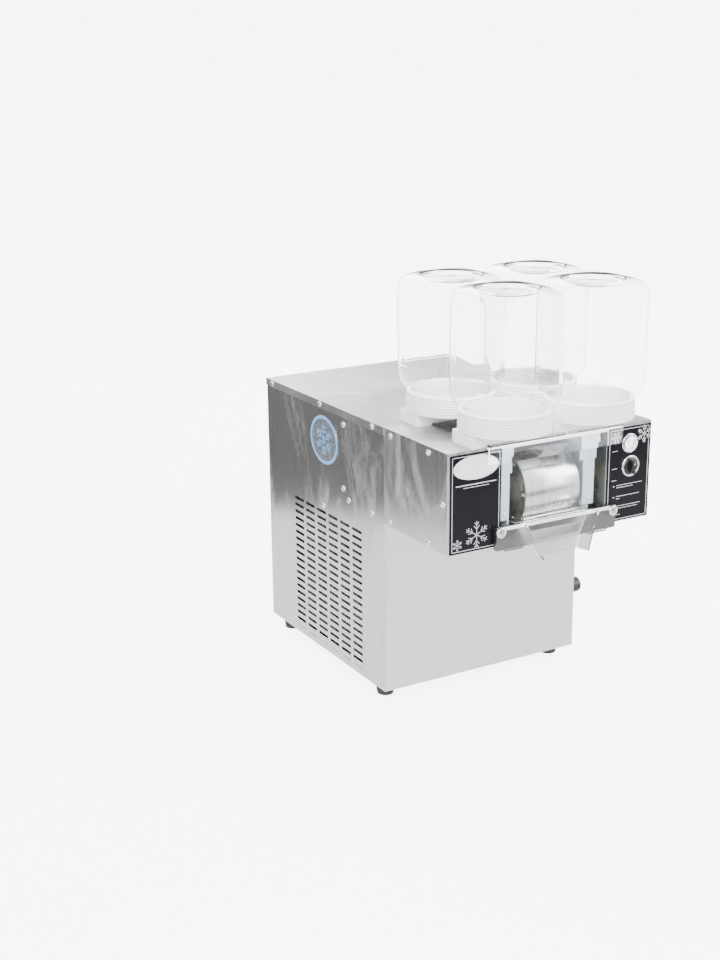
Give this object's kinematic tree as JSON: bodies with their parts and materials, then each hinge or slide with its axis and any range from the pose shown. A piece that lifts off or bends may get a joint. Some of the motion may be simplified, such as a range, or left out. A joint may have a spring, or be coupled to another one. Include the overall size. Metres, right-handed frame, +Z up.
{
  "type": "shaved snow-ice machine",
  "caption": "Countertop snow-ice machine: vented steel body, overhanging hood with a freezing drum, blade and clear chute, and upturned clear jars on a drip cover.",
  "frame": {"origin": "bottom centre of the overall box, on the surface the rubber feet stand on", "axes": "+Z up, the hood and chute face -Y, +X is to the right of someone facing the machine's front"},
  "size_m": [0.3874, 0.6076, 0.66],
  "materials": {
    "casing_steel": "satin brushed stainless sheet, faint smudges",
    "pan_steel": "galvanised sheet",
    "foot_rubber": "moulded matt rubber",
    "printed_panel": "gloss black overlay with silver print",
    "badge_plate": "domed label with a blue ring",
    "screw_steel": "bright plated pan heads",
    "compressor_paint": "black enamel",
    "mount_rubber": "matt rubber",
    "condenser_metal": "thin fins on steel tube",
    "shroud_metal": "zinc-plated sheet",
    "motor_metal": "dark grey paint",
    "fan_plastic": "moulded black plastic",
    "pipe_copper": "drawn copper pipe",
    "box_grey": "light grey powder coat",
    "inlet_plastic": "black nylon",
    "gearmotor_metal": "cast and machined",
    "bay_plastic": "milky food-grade plastic",
    "union_brass": "machined brass",
    "hose_silicone": "translucent silicone",
    "drain_plastic": "black moulded plastic",
    "drum_steel": "fine circumferential brushing",
    "blade_steel": "ground edge",
    "bezel_chrome": "bright plated ring",
    "button_cap": "clear-lensed silver cap",
    "knob_black": "gloss black with a bright pointer",
    "clear_acrylic": "clear acrylic sheet, polished edges",
    "seat_white": "white nylon block",
    "jar_clear": "clear blow-moulded bottle plastic",
    "cap_white": "milky translucent polypropylene",
    "chute_clear": "clear folded plastic sheet",
    "knob_white": "white nylon"
  },
  "bodies": {
    "root": {"base_pan": "pan_steel", "rubber_feet": "foot_rubber", "left_side_panel": "casing_steel", "right_side_panel": "casing_steel", "front_panel": "casing_steel", "rear_panel": "casing_steel", "top_lid": "casing_steel", "hood_left_side": "casing_steel", "hood_right_side": "casing_steel", "hood_front": "casing_steel", "hood_top": "casing_steel", "hood_floor": "casing_steel", "left_graphic_panel": "printed_panel", "right_graphic_panel": "printed_panel", "oval_badge": "badge_plate", "panel_screws": "screw_steel", "compressor": "compressor_paint", "compressor_mounts": "mount_rubber", "condenser": "condenser_metal", "fan_shroud": "shroud_metal", "fan_motor": "motor_metal", "filter_drier": "pipe_copper", "copper_pipes": "pipe_copper", "control_box": "box_grey", "power_inlet": "inlet_plastic", "drum_gearmotor": "gearmotor_metal", "left_side_plate": "bay_plastic", "right_side_plate": "bay_plastic", "drum_bearings": "knob_white", "rotary_union": "union_brass", "milk_trough": "bay_plastic", "feed_tray": "bay_plastic", "drain_hose": "hose_silicone", "drain_fitting": "drain_plastic", "blade_bar": "casing_steel", "scraper_blade": "blade_steel", "switch_bezels": "bezel_chrome"},
    "drum": {"drum_shell": "drum_steel", "drum_shaft": "drum_steel"},
    "fan": {"fan_rotor": "fan_plastic"},
    "button": {"push_button": "button_cap"},
    "selector": {"selector_knob": "knob_black"},
    "cover": {"drip_cover": "clear_acrylic", "seat_blocks": "seat_white"},
    "chute": {"ice_chute": "chute_clear"},
    "knob_left": {"left_bar_knob": "knob_white"},
    "knob_right": {"right_bar_knob": "knob_white"},
    "drain": {"drain_plug": "drain_plastic"},
    "jar_unit_front_left": {"jar_front_left": "jar_clear", "cap_front_left": "cap_white"},
    "valve_unit_front_left": {"valve_front_left": "knob_white"},
    "jar_unit_front_right": {"jar_front_right": "jar_clear", "cap_front_right": "cap_white"},
    "valve_unit_front_right": {"valve_front_right": "knob_white"},
    "jar_unit_rear_left": {"jar_rear_left": "jar_clear", "cap_rear_left": "cap_white"},
    "valve_unit_rear_left": {"valve_rear_left": "knob_white"},
    "jar_unit_rear_right": {"jar_rear_right": "jar_clear", "cap_rear_right": "cap_white"},
    "valve_unit_rear_right": {"valve_rear_right": "knob_white"}
  },
  "joints": [
    {"name": "drum_spin", "type": "hinge", "parent": "root", "child": "drum", "pos_m": [-0.0103, -0.1936, 0.357], "axis": [1, 0, 0], "continuous": true},
    {"name": "fan_spin", "type": "hinge", "parent": "root", "child": "fan", "pos_m": [-0.1233, 0.0964, 0.146], "axis": [1, 0, 0], "continuous": true},
    {"name": "button_press", "type": "slide", "parent": "root", "child": "button", "axis": [0, 1, 0], "range_m": [0, 0.003], "stiffness_N_per_m": 700, "springref_m": -0.001},
    {"name": "selector_turn", "type": "hinge", "parent": "root", "child": "selector", "pos_m": [0.1307, -0.2546, 0.3775], "axis": [0, 1, 0], "range_deg": [-45, 45]},
    {"name": "cover_lift", "type": "slide", "parent": "root", "child": "cover", "axis": [0, 0, 1], "range_m": [0, 0.08]},
    {"name": "jar_lift_front_left", "type": "slide", "parent": "cover", "child": "jar_unit_front_left", "axis": [0, 0, 1], "range_m": [0, 0.08]},
    {"name": "valve_drop_front_left", "type": "slide", "parent": "jar_unit_front_left", "child": "valve_unit_front_left", "axis": [0, 0, 1], "range_m": [-0.004, 0]},
    {"name": "jar_lift_front_right", "type": "slide", "parent": "cover", "child": "jar_unit_front_right", "axis": [0, 0, 1], "range_m": [0, 0.08]},
    {"name": "valve_drop_front_right", "type": "slide", "parent": "jar_unit_front_right", "child": "valve_unit_front_right", "axis": [0, 0, 1], "range_m": [-0.004, 0]},
    {"name": "jar_lift_rear_left", "type": "slide", "parent": "cover", "child": "jar_unit_rear_left", "axis": [0, 0, 1], "range_m": [0, 0.08]},
    {"name": "valve_drop_rear_left", "type": "slide", "parent": "jar_unit_rear_left", "child": "valve_unit_rear_left", "axis": [0, 0, 1], "range_m": [-0.004, 0]},
    {"name": "jar_lift_rear_right", "type": "slide", "parent": "cover", "child": "jar_unit_rear_right", "axis": [0, 0, 1], "range_m": [0, 0.08]},
    {"name": "valve_drop_rear_right", "type": "slide", "parent": "jar_unit_rear_right", "child": "valve_unit_rear_right", "axis": [0, 0, 1], "range_m": [-0.004, 0]},
    {"name": "chute_lift", "type": "slide", "parent": "root", "child": "chute", "axis": [0, 0, 1], "range_m": [0, 0.04]},
    {"name": "bar_knob_left_turn", "type": "hinge", "parent": "root", "child": "knob_left", "pos_m": [-0.1063, -0.2636, 0.317], "axis": [0, -1, 0], "range_deg": [0, 720]},
    {"name": "bar_knob_right_turn", "type": "hinge", "parent": "root", "child": "knob_right", "pos_m": [0.0937, -0.2636, 0.317], "axis": [0, -1, 0], "range_deg": [0, 720]},
    {"name": "drain_plug_pull", "type": "slide", "parent": "root", "child": "drain", "axis": [1, 0, 0], "range_m": [0, 0.03]}
  ],
  "couplings": [
    {"joint": "valve_drop_front_left", "follows": "jar_lift_front_left", "ratio": -0.05},
    {"joint": "valve_drop_front_right", "follows": "jar_lift_front_right", "ratio": -0.05},
    {"joint": "valve_drop_rear_left", "follows": "jar_lift_rear_left", "ratio": -0.05},
    {"joint": "valve_drop_rear_right", "follows": "jar_lift_rear_right", "ratio": -0.05}
  ]
}
